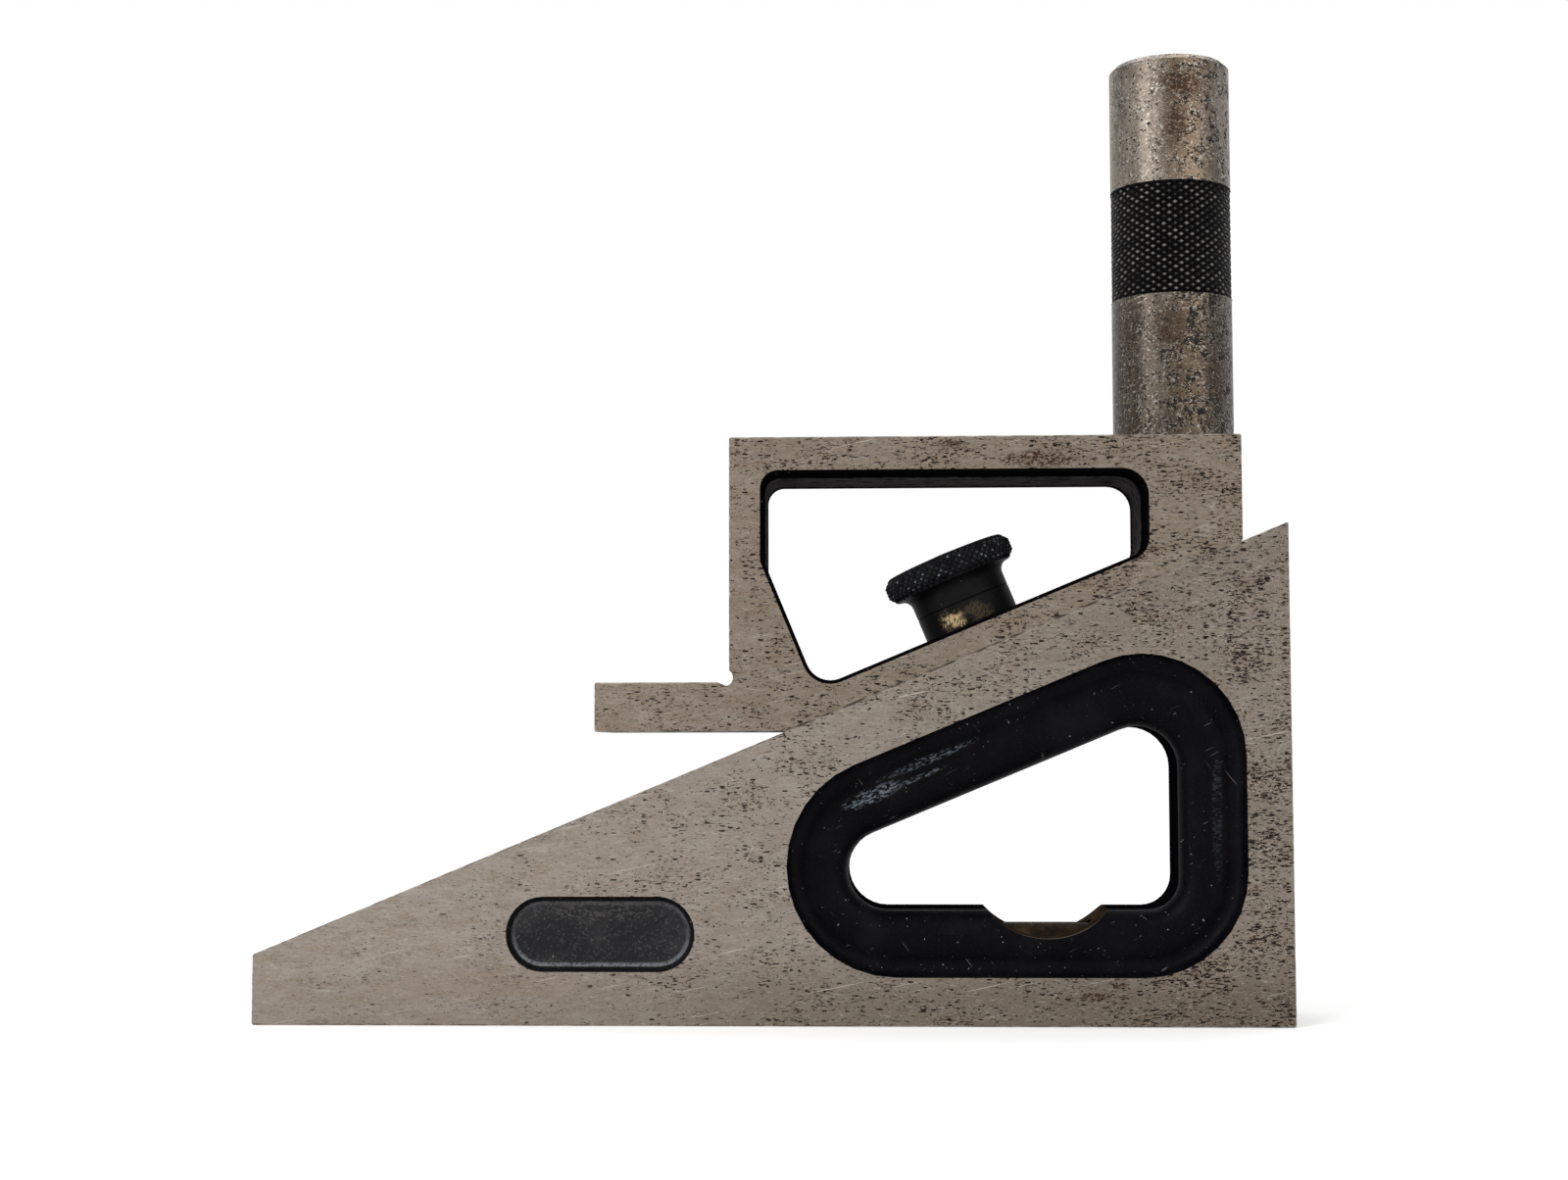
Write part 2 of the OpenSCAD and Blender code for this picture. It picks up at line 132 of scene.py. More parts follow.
def grain(paint, place, stretch, detail=2, rough=0.5, warp=0):
    if isinstance(stretch, (int, float)):
        stretch = (stretch,) * 3
    return paint.node("ShaderNodeTexNoise", {}, {
        "Vector": place * stretch, "Scale": 1, "Detail": detail, "Roughness": rough, "Distortion": warp})


def between(paint, value, low, high):          # 0 below low, 1 above high, soft in between
    return paint.node("ShaderNodeMapRange", {"interpolation_type": "SMOOTHSTEP"}, {
        "Value": value, "From Min": low, "From Max": high})


def tint(paint, share, first, second):
    return paint.node("ShaderNodeMix", {"data_type": "RGBA"}, {
        "Factor_Float": share, "A_Color": first, "B_Color": second}, out="Result_Color")


def larger(paint, first, second):
    return paint.node("ShaderNodeMath", {"operation": "MAXIMUM"}, [first, second])


def rotated(paint, place, turn):               # about the Y axis, in degrees
    return paint.node("ShaderNodeVectorRotate", {"rotation_type": "Y_AXIS"}, {
        "Vector": place, "Angle": math.radians(turn)})


def part(paint, place, axis):
    return paint.node("ShaderNodeSeparateXYZ", {}, [place], out=axis)


def reach(paint, vector):
    return paint.node("ShaderNodeVectorMath", {"operation": "LENGTH"}, [vector], out="Value")


def wornTips(paint):                           # how far each tip of a knurl is rubbed bright
    return paint.node("ShaderNodeAttribute", {
        "attribute_type": "GEOMETRY", "attribute_name": "wear"}, out="Fac")


def stain(paint, place, ragged, centre, size, edge=0.45):
    far = reach(paint, (place - centre) / size) + (ragged - 0.5) * 1.6
    return 1 - between(paint, far, edge, 1)


def scratches(paint, place, turn, stretch, rarity, shift=0.0):
    across = rotated(paint, place, turn) + (shift, shift, shift)
    return between(paint, grain(paint, across, stretch, 1, 0.4), rarity, rarity + 0.05)


def relief(paint, height, depth):              # depth in millimetres
    return paint.node("ShaderNodeBump", {}, {
        "Strength": 1, "Distance": depth / 1000, "Height": height}, out="Normal")


# Finishes

baseLook = {
    "body": srgb(136, 127, 118), "shade": srgb(122, 112, 102), "light": srgb(158, 151, 143),
    "warm": srgb(126, 108, 91), "pit": srgb(20, 13, 9), "scratch": srgb(196, 190, 180),
    "rust": srgb(52, 32, 20), "dirtAndShade": srgb(86, 75, 63), "metallic": 0.3, "roughness": 0.5,
    "pitDepth": 0.02,                          # in millimetres
}
slideLook = dict(baseLook, body=srgb(120, 109, 97), shade=srgb(106, 95, 83), light=srgb(144, 135, 125),
                 warm=srgb(114, 95, 77))


def ripple(paint, place, stretch):             # a noise for each way, to make outlines uneven
    return paint.node("ShaderNodeTexNoise", {}, {
        "Vector": place * stretch, "Scale": 1, "Detail": 3, "Roughness": 0.65}, out="Color")


def pitted(paint, place, cells, share, size, ragged):
    # short pits: an uneven field of cells, of which only a share holds one, each of its own size
    spots = place * cells + (ragged - 0.5) * 0.9
    cell = paint.node("ShaderNodeTexVoronoi", {}, {"Vector": spots, "Scale": 1}, out="Distance")
    field = Wire(paint, cell.socket.node.outputs["Color"])
    luck = paint.node("ShaderNodeSeparateColor", {}, [field], out="Red")
    grade = (luck + share - 1) / (share + 0.001)
    radius = between(paint, grade, 0, 0.03) * (grade * 0.55 + 0.45) * size
    return between(paint, radius - cell, 0, 0.05)


def flecks(paint, place, stretch, share, warp=0.0):
    # ragged dashes: the crests of a noise, cut off sharply; more of them where share is higher
    crests = grain(paint, place, stretch, 4, 0.62, warp)
    edge = 0.685 - share * 0.16
    return between(paint, crests, edge, edge + 0.015)


def groundSteel(name, look, rows, stains, worn):
    # rows is, from left to right, how thick the pits lie, how dark the face is (tarnish together with
    # painted shade where the light falls off to the right), and how much darker its lowest strip is
    # (painted shade)
    paint = Paint(name)
    place = paint.place()
    x = part(paint, place, "X")
    z = part(paint, place, "Z")
    left, right = rows[0][0], rows[-1][0]
    along = (x - left) / (right - left)
    stops = [((at - left) / (right - left), (*amounts, 1)) for at, *amounts in rows]
    table = paint.node("ShaderNodeValToRGB", {"stops": stops}, {"Fac": along})
    density, dark, soleShade = (
        paint.node("ShaderNodeSeparateColor", {}, [table], out=channel)
        for channel in ("Red", "Green", "Blue"))

    clouds = grain(paint, place, (0.05, 0.09, 0.1), 5, 0.62)
    patches = grain(paint, place, (0.22, 0.5, 0.5), 5, 0.68)
    drawn = grain(paint, place, (0.5, 2.4, 2.6), 4, 0.7)
    streaks = grain(paint, place, (0.7, 7, 7), 3, 0.65)
    grit = grain(paint, place, (2.4, 5, 5), 3, 0.7)
    ragged = grain(paint, place, 0.55, 4, 0.65)
    curl = ripple(paint, place, (1.7, 3.4, 3.4))

    cloudy = between(paint, clouds + (patches - 0.5) * 1.2, 0.26, 0.6) * 0.4 + 0.6
    colour = tint(paint, cloudy, look["shade"], look["body"])
    for noise, low, high, strength, tone in (
            (patches, 0.5, 0.7, 0.4, "light"), (patches, 0.48, 0.3, 0.4, "warm"),
            (drawn, 0.52, 0.68, 0.45, "light"), (drawn, 0.48, 0.34, 0.4, "warm"),
            (grit, 0.5, 0.72, 0.35, "light"), (grit, 0.5, 0.28, 0.4, "shade"),
            (streaks, 0.52, 0.72, 0.3, "light"), (streaks, 0.48, 0.26, 0.35, "shade")):
        colour = tint(paint, between(paint, noise, low, high) * strength, colour, look[tone])
    if worn:
        patchy = grain(paint, place, (0.13, 0.4, 0.5), 5, 0.65)
        rubbed = between(paint, x, 2, -32) * between(paint, patchy, 0.5, 0.62)
        fine = grain(paint, place, (1.5, 6, 6), 4, 0.7)
        colour = tint(paint, rubbed * between(paint, fine, 0.5, 0.6) * 0.7, colour, look["dirtAndShade"])

    # painted shade together with tarnish: the face darkens to the right, where the light falls off
    grimeAndShade = dark * 0.6
    if worn:                                   # more of it along the sole and under the slide
        # painted shade along the sole, darker towards the bottom, and a darker strip just under the slide
        below = (x + wedge["half"]) * math.tan(incline) + wedge["lowEnd"] - z
        grimeAndShade = grimeAndShade + between(paint, z, 11, 3) * soleShade + between(paint, below, 9, 4) * 0.12 * dark
    colour = tint(paint, grimeAndShade, colour, look["dirtAndShade"])

    crowd = between(paint, grain(paint, place, (0.12, 0.2, 0.2), 3, 0.6), 0.36, 0.66)
    share = density * (0.42 + crowd * 0.6)
    thick = between(paint, share, 0.12, 0.5) * share
    pits = pitted(paint, place, (1, 2.9, 3.4), thick * 0.65, 0.45, curl)
    dashes = flecks(paint, place, (1.3, 4.8, 5.8), share)
    worms = flecks(paint, place + (7, 3, 5), (2.3, 3.3, 3.3), share * 0.85, 0.8)
    holes = larger(paint, larger(paint, pits, dashes), worms)
    pale = flecks(paint, place + (3, 9, 2), (1.1, 5, 6.5), share * 0.5 + 0.25)
    colour = tint(paint, pale * 0.5, colour, look["light"])
    colour = tint(paint, between(paint, crowd * density, 0.25, 0.8) * 0.2, colour, look["warm"])
    deep = between(paint, density, -0.2, 0.65)   # where there are few pits, they are paler
    colour = tint(paint, holes * deep, colour, look["pit"])

    marks = scratches(paint, place, 12, (0.09, 1.5, 5.5), 0.74)
    for turn, shift in ((-38, 31.0), (64, 57.0), (-7, 83.0)):
        marks = marks + scratches(paint, place, turn, (0.14, 1.5, 6.5), 0.755, shift)
    colour = tint(paint, marks * 0.4, colour, look["scratch"])

    for centre, size, kind, strength in stains:
        spot = stain(paint, place, ragged, centre, size)
        if kind == "rust":
            spot = spot * between(paint, grain(paint, place, (2.6, 4, 4), 3, 0.6, 0.6), 0.47, 0.5)
        colour = tint(paint, spot * strength, colour, look[kind])

    height = streaks * 0.25 - holes * 0.9
    return paint.finish({
        "Base Color": colour, "Metallic": look["metallic"] * (1 - holes),
        "Roughness": look["roughness"] + holes * 0.3 + (patches - 0.5) * 0.15,
        "Specular IOR Level": 0.12, "Normal": relief(paint, height, look["pitDepth"])})


edgeLook = {"dull": srgb(84, 74, 65), "bright": srgb(150, 141, 131)}


def edgeSteel(name, look):
    paint = Paint(name)
    place = paint.place()
    worn = grain(paint, place, (0.5, 1.5, 1.5), 4, 0.6)
    colour = tint(paint, between(paint, worn, 0.4, 0.62), look["dull"], look["bright"])
    return paint.finish({"Base Color": colour, "Metallic": 0.4, "Roughness": 0.4 + worn * 0.2})


# peel is the colour of the painted highlights on the orange peel
enamelLook = {
    "black": srgb(5, 5, 7), "grey": srgb(14, 14, 17), "chip": srgb(150, 146, 140),
    "peel": srgb(104, 111, 120), "mottle": srgb(24, 24, 28),
}
# painted shade: a darker copy of the enamel for the walls inside the hole
holeShadeLook = dict(enamelLook, grey=srgb(8, 8, 9), mottle=srgb(14, 14, 15))
# the peel and fillet colours are painted highlights
plateLook = {
    "black": srgb(24, 24, 26), "grey": srgb(44, 42, 43), "chip": srgb(160, 152, 138),
    "peel": srgb(84, 80, 78), "mottle": srgb(84, 85, 88),
    "fillet": srgb(112, 114, 118), "wall": srgb(7, 7, 8),
}


def blackEnamel(name, look, peel, chips, gloss=0.05, rubbed=(), oval=None):
    # rubbed lists painted highlights on the paint's orange peel, as (centre, size, turn in degrees,
    # strength);
    # oval is a recess, as (x, z, half its straight, its half height): black wall, and a painted highlight
    # along its fillet, strongest at the bottom
    paint = Paint(name)
    place = paint.place()
    skin = grain(paint, place, 0.85, 2, 0.5)
    fine = grain(paint, place, 3.2, 3, 0.6)
    dust = grain(paint, place, 0.14, 4, 0.6)
    colour = tint(paint, between(paint, dust, 0.42, 0.7), look["black"], look["grey"])
    colour = tint(paint, between(paint, fine, 0.52, 0.72) * 0.4, colour, look["mottle"])
    # painted highlights: pale crumbs on the orange peel where it would catch the light
    for centre, size, turn, strength in rubbed:
        about = rotated(paint, place - centre, turn)
        inside = 1 - between(paint, reach(paint, about / size) + (dust - 0.5) * 0.8, 0.55, 1)
        crumbs = between(paint, grain(paint, about, (1.4, 3, 3.8), 4, 0.7), 0.5, 0.58)
        colour = tint(paint, inside * crumbs * strength, colour, look["peel"])
    if oval:
        x, z, side, half = oval
        aside = paint.node("ShaderNodeMath", {"operation": "ABSOLUTE"}, [part(paint, place, "X") - x])
        aside = larger(paint, aside - side, 0)
        above = part(paint, place, "Z") - z
        out = half - reach(paint, paint.node("ShaderNodeCombineXYZ", {}, [aside, above, 0]))
        # painted highlight: a pale ring on the oval's fillet, strongest along its bottom
        fillet = between(paint, out, 0.6, 0.74) * between(paint, out, 1.3, 0.9)
        fillet = fillet * (0.25 + between(paint, above, 1, -4) * 0.75) * between(paint, fine, 0.3, 0.5)
        colour = tint(paint, fillet * 0.8, colour, look["fillet"])
        colour = tint(paint, between(paint, out + (fine - 0.5) * 0.3, 0.68, 0.58), colour, look["wall"])
    bits = pitted(paint, place, 0.9, 0.28, 0.13, ripple(paint, place, 2))
    crumbs = pitted(paint, place, 1.7, 0.22, 0.15, ripple(paint, place, 3))
    marks = scratches(paint, place, 28, (0.2, 1.6, 5.5), 0.76)
    marks = marks + scratches(paint, place, -52, (0.2, 1.6, 5.5), 0.77, 19)
    colour = tint(paint, (bits + crumbs * 0.6 + marks * 0.4) * chips, colour, look["chip"])
    return paint.finish({
        "Base Color": colour, "Roughness": 0.42 + between(paint, dust, 0.4, 0.75) * 0.15,
        "Specular IOR Level": gloss,
        "Normal": relief(paint, skin + fine * 0.25, peel)})


windowLook = {
    "black": srgb(6, 6, 7), "back": srgb(6, 6, 6), "thin": srgb(42, 40, 40), "thinner": srgb(76, 74, 74),
    "brown": srgb(46, 38, 34), "patch": srgb(8, 8, 8), "chip": srgb(92, 87, 82),
}


def windowPaint(name, look):
    # black on the rounded front edge, thin dark grey along the wall, black again at the back edge
    paint = Paint(name)
    place = paint.place()
    y = part(paint, place, "Y")
    ragged = grain(paint, place, 0.8, 4, 0.65)
    edge = between(paint, y + (ragged - 0.5) * 3, -4.6, -3.9)
    back = between(paint, y + (ragged - 0.5) * 1.4, 7.9, 8.3)
    streaks = grain(paint, place, (0.35, 1.2, 0.9), 4, 0.65)
    chips = between(paint, grain(paint, place, (0.45, 1.3, 0.7), 4, 0.65), 0.57, 0.6)
    thin = tint(paint, between(paint, streaks, 0.35, 0.65), look["thin"], look["thinner"])
    thin = tint(paint, between(paint, y, 3, 8) * 0.4, thin, look["brown"])
    thin = tint(paint, chips * 0.9, thin, look["patch"])
    bits = pitted(paint, place, 1.1, 0.3, 0.14, ripple(paint, place, 2))
    black = tint(paint, bits, look["black"], look["chip"])
    colour = tint(paint, back, tint(paint, edge, black, thin), look["back"])
    return paint.finish({
        "Base Color": colour, "Roughness": 0.55, "Specular IOR Level": 0.0,
        "Normal": relief(paint, grain(paint, place, 1.1, 3, 0.6) - edge * 0.3, 0.05)})


bluedLook = {
    "black": srgb(6, 6, 7), "grey": srgb(14, 14, 16), "chip": srgb(120, 116, 110), "tip": srgb(62, 63, 69),
    "glint": srgb(140, 146, 160), "brown": srgb(70, 58, 46), "bare": srgb(188, 166, 124),
}


def bluedSteel(name, look, worn=()):
    # worn lists the spots that are rubbed through, as (centre, size, strength)
    paint = Paint(name)
    place = paint.place()
    cloud = grain(paint, place, 0.3, 4, 0.6)
    fine = grain(paint, place, 2.4, 3, 0.6)
    colour = tint(paint, between(paint, cloud, 0.35, 0.65), look["black"], look["grey"])
    bits = pitted(paint, place, 1.2, 0.3, 0.13, ripple(paint, place, 2))
    colour = tint(paint, bits * 0.8, colour, look["chip"])
    wear = wornTips(paint)
    # painted highlights on the knurl's tips: a grey sheen and grey-blue glints, over the tips' real wear
    glint = between(paint, wear + (fine - 0.5) * 1.1, 0.55, 0.85)
    colour = tint(paint, wear * 0.6, colour, look["tip"])
    colour = tint(paint, glint * 0.85, colour, look["glint"])
    if worn:
        ragged = grain(paint, place, 1.5, 4, 0.7)
        lines = grain(paint, rotated(paint, place, -14), (6.5, 4, 1.5), 4, 0.72)
        for centre, size, strength in worn:
            spot = stain(paint, place, ragged, centre, size, 0.35)
            bright = between(paint, spot, 0.25, 0.9) * between(paint, lines, 0.4, 0.56) * strength
            rubbed = tint(paint, bright, look["brown"], look["bare"])
            cover = spot * between(paint, lines, 0.34, 0.52) * (0.35 + 0.65 * strength)
            colour = tint(paint, cover, colour, rubbed)
    return paint.finish({
        "Base Color": colour, "Metallic": 0.1, "Roughness": 0.45 + fine * 0.2, "Specular IOR Level": 0.08,
        "Normal": relief(paint, fine, 0.012)})


def plainMetal(name, colour, dark, metallic, roughness, gloss=0.5):
    paint = Paint(name)
    place = paint.place()
    cloud = grain(paint, place, 0.5, 4, 0.6)
    fine = grain(paint, place, 5, 2, 0.5)
    look = tint(paint, between(paint, cloud, 0.35, 0.7), dark, colour)
    return paint.finish({
        "Base Color": look, "Metallic": metallic, "Roughness": roughness + (cloud - 0.5) * 0.3,
        "Specular IOR Level": gloss, "Normal": relief(paint, fine, 0.006)})


scallopLook = {"dark": srgb(30, 24, 18), "brown": srgb(56, 46, 36), "front": srgb(112, 100, 86)}


def scallopSteel(name, look):                  # dark, with a paler line along its front edge
    paint = Paint(name)
    place = paint.place()
    cloud = grain(paint, place, 0.6, 4, 0.65)
    colour = tint(paint, between(paint, cloud, 0.35, 0.7), look["dark"], look["brown"])
    front = between(paint, part(paint, place, "Y") + (cloud - 0.5) * 0.6, -6.1, -6.6)
    colour = tint(paint, front * 0.8, colour, look["front"])
    return paint.finish({"Base Color": colour, "Roughness": 0.7, "Specular IOR Level": 0.0})


def clearGlass(name, colour, roughness, index):
    paint = Paint(name)
    return paint.finish({
        "Base Color": colour, "Roughness": roughness, "IOR": index, "Transmission Weight": 1})


def plaster(name, dull, bright):
    paint = Paint(name)
    place = paint.place()
    crumbs = grain(paint, place, 2.2, 4, 0.65)
    colour = tint(paint, crumbs, dull, bright)
    return paint.finish({"Base Color": colour, "Roughness": 0.9, "Normal": relief(paint, crumbs, 0.06)})


# Making pieces

def finishPiece(bm, name, body, materials, replaced, placing=None, crease=28):
    if placing:
        bmesh.ops.transform(bm, matrix=placing, verts=bm.verts)
    mesh = bpy.data.meshes.new(name)
    bm.to_mesh(mesh)
    bm.free()
    stored = mesh.attributes.get("custom_normal")
    if stored:                                 # a merged copy no longer fits the normals it came with
        mesh.attributes.remove(stored)
    for material in materials:
        mesh.materials.append(material)
    mesh.shade_smooth()
    mesh.set_sharp_from_angle(angle=math.radians(crease))
    piece = bpy.data.objects.new(name, mesh)
    scene.collection.objects.link(piece)
    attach(piece, body)
    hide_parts(*replaced)
    return piece


making = {
    "merge": 2e-6, "join": 1e-7,               # in metres
    "snap": 0.004,                             # in millimetres
}


def mergedCopy(node):
    bm = bmesh.new()
    bm.from_mesh(nodes[node].data)
    bmesh.ops.remove_doubles(bm, verts=bm.verts, dist=making["merge"])
    bm.normal_update()
    return bm


def turned(points, steps, closed=False):       # points are (radius, height) in millimetres
    bm = bmesh.new()
    verts = [bm.verts.new(mm(r, 0, z)) for r, z in points]
    ends = verts[1:] + verts[:1] if closed else verts[1:]
    edges = [bm.edges.new(pair) for pair in zip(verts, ends)]
    bmesh.ops.spin(bm, geom=verts + edges, cent=(0, 0, 0), axis=(0, 0, 1), angle=math.tau,
                   steps=steps, use_merge=True)
    bmesh.ops.remove_doubles(bm, verts=bm.verts, dist=making["join"])
    bmesh.ops.recalc_face_normals(bm, faces=bm.faces)
    return bm


def arcPoints(centre, radius, start, end, count):
    turns = [math.radians(start + (end - start) * i / count) for i in range(count + 1)]
    return [(centre[0] + radius * math.cos(a), centre[1] + radius * math.sin(a)) for a in turns]


def cutKnurl(bm, knurl, rows):
    # rows are the (radius, height) rings of the band; every second point of each goes in
    turn = math.tau / knurl["columns"]
    wear = bm.verts.layers.float.new("wear")
    roots, tips, rowOf = set(), [], {}
    for vert in bm.verts:
        radius, height = math.hypot(vert.co.x, vert.co.y) * 1000, vert.co.z * 1000
        near = [i for i, (r, z) in enumerate(rows)
                if max(abs(r - radius), abs(z - height)) < making["snap"]]
        if not near:
            continue
        row = rowOf[vert] = near[0]
        column = round(math.atan2(vert.co.y, vert.co.x) / turn)
        if (row + column) % 2:
            roots.add(vert)
            vert.co.x *= 1 - knurl["depth"] / radius
            vert.co.y *= 1 - knurl["depth"] / radius
        elif 0 < row < len(rows) - 1:
            tips.append(vert)
    for face in [f for f in bm.faces if all(v in rowOf for v in f.verts)]:
        low = [v for v in face.verts if v in roots]
        bmesh.utils.face_split(face, low[0], low[1])
    for vert in tips:
        vert[wear] = random.uniform(*knurl["wear"])
    bmesh.ops.bevel(bm, geom=tips, offset=knurl["flat"], offset_type="PERCENT", affect="VERTICES",
                    segments=1, profile=0.5, material=-1)
    print("knurl cut:", len(tips), "tips")


def threadRod(thread):                         # a real helix, cut square at both ends
    bm = bmesh.new()
    pitch, steps = thread["pitch"], thread["steps"]
    turns = math.ceil(thread["length"] / pitch) + 2
    verts = [bm.verts.new(mm(r, 0, z)) for r, z in (
        (thread["root"], -2 * pitch), (thread["crest"], -1.5 * pitch), (thread["root"], -pitch))]
    edges = [bm.edges.new(pair) for pair in zip(verts, verts[1:])]
    bmesh.ops.spin(bm, geom=verts + edges, cent=(0, 0, 0), axis=(0, 0, 1), angle=math.tau * turns,
                   dvec=mm(0, 0, pitch / steps), steps=steps * turns)
    bmesh.ops.remove_doubles(bm, verts=bm.verts, dist=making["join"])
    for height, side in ((0, -1), (thread["length"], 1)):
        everything = bm.verts[:] + bm.edges[:] + bm.faces[:]
        bmesh.ops.bisect_plane(bm, geom=everything, plane_co=mm(0, 0, height), plane_no=(0, 0, side),
                               clear_outer=True)
        rim = [e for e in bm.edges if e.is_boundary
               and all(abs(v.co.z * 1000 - height) < 0.001 for v in e.verts)]
        bmesh.ops.edgeloop_fill(bm, edges=rim)
    bmesh.ops.recalc_face_normals(bm, faces=bm.faces)
    return bm


# Camera

camera = {"place": (0.013684, -0.305854, 0.035493), "turn": 2.2704, "tilt": 3.9078, "roll": 0.1125,
          "lens": 52.768, "sensor": 36}


def makeCamera(s):
    data = bpy.data.cameras.new("camera")
    data.lens, data.sensor_width, data.sensor_fit = s["lens"], s["sensor"], "HORIZONTAL"
    data.clip_start, data.clip_end = 0.01, 20
    eye = bpy.data.objects.new("camera", data)
    scene.collection.objects.link(eye)
    eye.matrix_world = (
        Matrix.Translation(s["place"])
        @ Matrix.Rotation(math.radians(s["turn"]), 4, "Z")
        @ Matrix.Rotation(math.radians(s["tilt"]), 4, "X")
        @ Matrix.Rotation(math.radians(s["roll"]), 4, "Y")
        @ Matrix.Rotation(math.radians(90), 4, "X"))
    scene.camera = eye


makeCamera(camera)
print("camera placed")


# Studio

studio = {
    "ambient": 0.5,
    "floorColour": (0.8, 0.8, 0.8, 1), "floorLift": 0.3, "floorSize": 8, "floorDrop": 0.00005,
    "clear": (0.16, 0.5),                      # how far off the floor starts and ends going white
    "lamps": [                                 # name, place, aim, width, height, watts
        ("key", (-0.34, -0.46, 0.46), (0.01, 0, 0.05), 0.34, 0.34, 2.6),
        ("strip", (-0.34, -0.24, 0.14), (0.05, 0, 0.09), 0.06, 0.34, 0.5),
        ("fill", (0.42, -0.5, 0.2), (0.02, 0, 0.05), 0.4, 0.4, 1.1),
        ("top", (0.08, 0.18, 0.6), (0.02, 0, 0.04), 0.5, 0.3, 1.6),
    ],
}


def seen(paint):                               # 1 for what the camera, glass and gloss show
    path = [paint.node("ShaderNodeLightPath", out=ray) for ray in (
        "Is Camera Ray", "Is Glossy Ray", "Is Transmission Ray")]
    total = path[0] + path[1] + path[2]
    return paint.node("ShaderNodeMath", {"operation": "MINIMUM"}, [total, 1])


def makeStudio(s):
    world = bpy.data.worlds.new("studio")
    scene.world = world
    paint = Paint("studio", world)
    strength = s["ambient"] + seen(paint) * (1 - s["ambient"])
    sky = paint.node("ShaderNodeBackground", {}, {"Color": (1, 1, 1, 1), "Strength": strength})
    paint.node("ShaderNodeOutputWorld", {}, {"Surface": sky})

    half = s["floorSize"] / 2
    bm = bmesh.new()
    bmesh.ops.create_grid(bm, x_segments=1, y_segments=1, size=half)
    bmesh.ops.translate(bm, vec=(0, 0, -s["floorDrop"]), verts=bm.verts)
    mesh = bpy.data.meshes.new("floor")
    bm.to_mesh(mesh)
    bm.free()
    floor = bpy.data.objects.new("floor", mesh)
    scene.collection.objects.link(floor)
    paint = Paint("floor")
    matt = paint.node("ShaderNodeBsdfDiffuse", {}, {"Color": s["floorColour"]})
    lift = paint.node("ShaderNodeEmission", {}, {
        "Color": (1, 1, 1, 1), "Strength": seen(paint) * s["floorLift"]})
    near = paint.node("ShaderNodeAddShader", {}, [matt, lift])
    white = paint.node("ShaderNodeEmission", {}, {"Color": (1, 1, 1, 1), "Strength": 1})
    away = reach(paint, paint.node("ShaderNodeTexCoord", out="Object"))
    far = between(paint, away, *s["clear"]) * seen(paint)
    both = paint.node("ShaderNodeMixShader", {}, [far, near, white])
    paint.node("ShaderNodeOutputMaterial", {}, {"Surface": both})
    mesh.materials.append(paint.owner)

    for name, place, aim, width, height, watts in s["lamps"]:
        data = bpy.data.lights.new(name, "AREA")
        data.shape, data.size, data.size_y, data.energy = "RECTANGLE", width, height, watts
        lamp = bpy.data.objects.new(name, data)
        scene.collection.objects.link(lamp)
        lamp.location = place
        lamp.rotation_euler = (Vector(aim) - Vector(place)).to_track_quat("-Z", "Y").to_euler()


makeStudio(studio)
print("studio lit")


# Base: a wedge with ground faces and black enamel in its recesses

incline = math.radians(22.5)
wedge = {                                      # in millimetres
    "half": 66.675, "thick": 10.32, "lowEnd": 8.96,
    "openingLeft": -2, "openingRight": 61.2, "openingFoot": 6.0, "openingDepth": 7.15, "holeWall": 4.6,
    "plate": (-21.725, 11.6), "plateReach": (12.3, 4.95), "plateDepth": 0.9, "plateOval": (7.35, 4.8),
    "scallop": (35.775, 21.1), "scallopRadius": 10.3, "scallopTop": 14.6,
    "rows": [                                  # place, pits, darkness, darkness of the lowest strip
        (-66.7, 0.28, 0.14, 0.1), (-25, 0.44, 0.18, 0.16), (5, 0.6, 0.32, 0.4), (25, 0.6, 0.5, 0.38),
        (45, 0.75, 0.75, 0.33), (66.7, 0.95, 0.8, 0.34),
    ],
    "stains": [                                # centre, size, kind, strength
        ((41.4, -10.3, 3.8), (2.2, 2, 0.7), "rust", 1), ((44.4, -10.3, 5.3), (1.7, 2, 0.7), "rust", 1),
        ((-38, -10.3, 5), (16, 3, 2.2), "warm", 0.3),
    ],
    # painted highlights on the grip's enamel
    "gripHighlights": [                              # centre, size, turn, strength
        ((13.6, -8, 29.4), (5, 6, 1.2), 22.5, 0.9), ((20, -8, 33.6), (9, 6, 0.6), 22.5, 0.55),
        ((17, -8, 30.6), (8, 6, 0.4), 22.5, 0.5), ((57.6, -8, 27), (0.9, 6, 10), 0, 0.12),
    ],
    # painted highlights on the plate's enamel
    "plateHighlights": [((-21.7, -9.6, 14.4), (9, 3, 1.6), 0, 0.4)],
}
baseFaces = ["steel", "enamel", "edge", "plate", "scallop", "hole"]
slack = {"face": 0.005, "roof": 0.1, "scallop": 0.06, "square": 0.02, "bevel": 0.004}


def inclineHeight(x):
    return wedge["lowEnd"] + (x + wedge["half"]) * math.tan(incline)


def isBevel(normal):                           # a face at 45 degrees to the front
    return abs(abs(normal.y) - math.sqrt(0.5)) < slack["bevel"]


